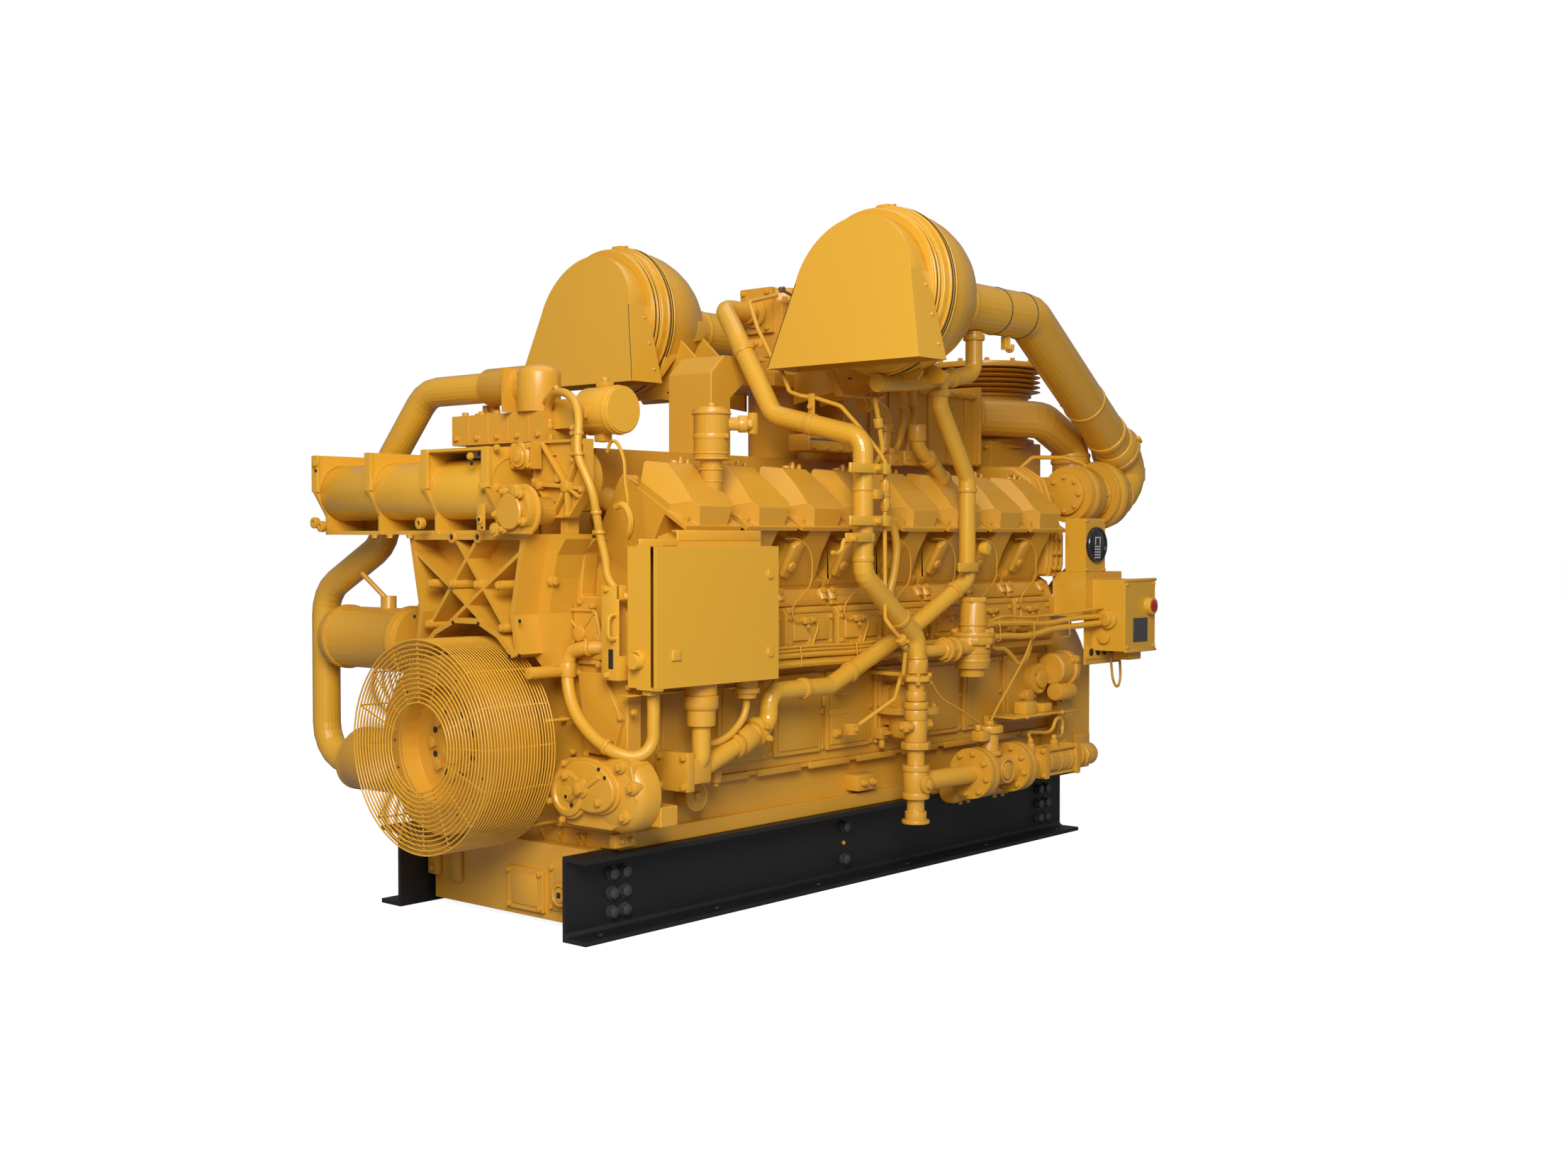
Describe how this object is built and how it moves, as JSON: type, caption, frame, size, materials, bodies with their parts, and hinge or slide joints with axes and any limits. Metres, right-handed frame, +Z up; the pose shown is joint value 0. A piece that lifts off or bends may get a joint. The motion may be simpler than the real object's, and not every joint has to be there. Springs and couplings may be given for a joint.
{
  "type": "stationary gas engine",
  "caption": "Large stationary V-type gas engine on two channel rails, with a control box, wire damper guard, twin air cleaners and a top exhaust outlet.",
  "frame": {"origin": "at floor level, in the middle of the foundation holes in the two rails", "axes": "+X from the damper end to the flywheel end, +Z up, the control box is on the -Y side"},
  "size_m": [2.8556, 1.691, 1.902],
  "materials": {
    "paint": "gloss",
    "black": "satin",
    "steel": "machined"
  },
  "bodies": {
    "engine": {"rail_left": "black", "rail_right": "black", "oil_pan": "paint", "engine_block": "paint", "crankcase_covers": "paint", "camshaft_covers": "paint", "cylinder_heads_left": "paint", "cylinder_heads_right": "paint", "rocker_covers_left": "paint", "rocker_covers_right": "paint", "exhaust_manifold": "paint", "aftercooler": "paint", "centre_post": "paint", "carburettor": "paint", "front_gear_case": "paint", "gear_case_covers": "paint", "oil_pump": "paint", "front_support": "paint", "front_tray": "paint", "header_cylinder": "paint", "ribbed_cover": "paint", "auxiliary_pump": "paint", "thermostat_housing": "paint", "coolant_elbow": "paint", "coolant_pipe": "paint", "coolant_pump": "paint", "oil_cooler": "paint", "expansion_canister": "paint", "guard_face": "paint", "guard_barrel": "paint", "flywheel_housing": "paint", "exhaust_outlet": "paint", "turbochargers": "paint", "charge_pipes": "paint", "air_cleaner_left": "paint", "air_cleaner_right": "paint", "rain_hoods": "paint", "cleaner_brackets": "paint", "intake_pipes": "paint", "breather": "paint", "control_box": "paint", "gas_pipe": "paint", "vent_pipe": "paint", "gas_column": "paint", "gas_train": "paint", "gas_filter": "paint", "side_conduits": "paint", "rear_control_box": "paint", "instrument_box": "paint"},
    "crankshaft": {"crankshaft": "steel", "crank_damper": "paint", "flywheel": "steel"},
    "door": {"control_box_door": "paint"}
  },
  "joints": [
    {"name": "crankshaft_spin", "type": "hinge", "parent": "engine", "child": "crankshaft", "pos_m": [0, 0, 0.468], "axis": [1, 0, 0], "continuous": true},
    {"name": "control_box_door_hinge", "type": "hinge", "parent": "engine", "child": "door", "pos_m": [-1.024, -0.542, 0.795], "axis": [0, 0, -1], "range_deg": [0, 110]}
  ]
}
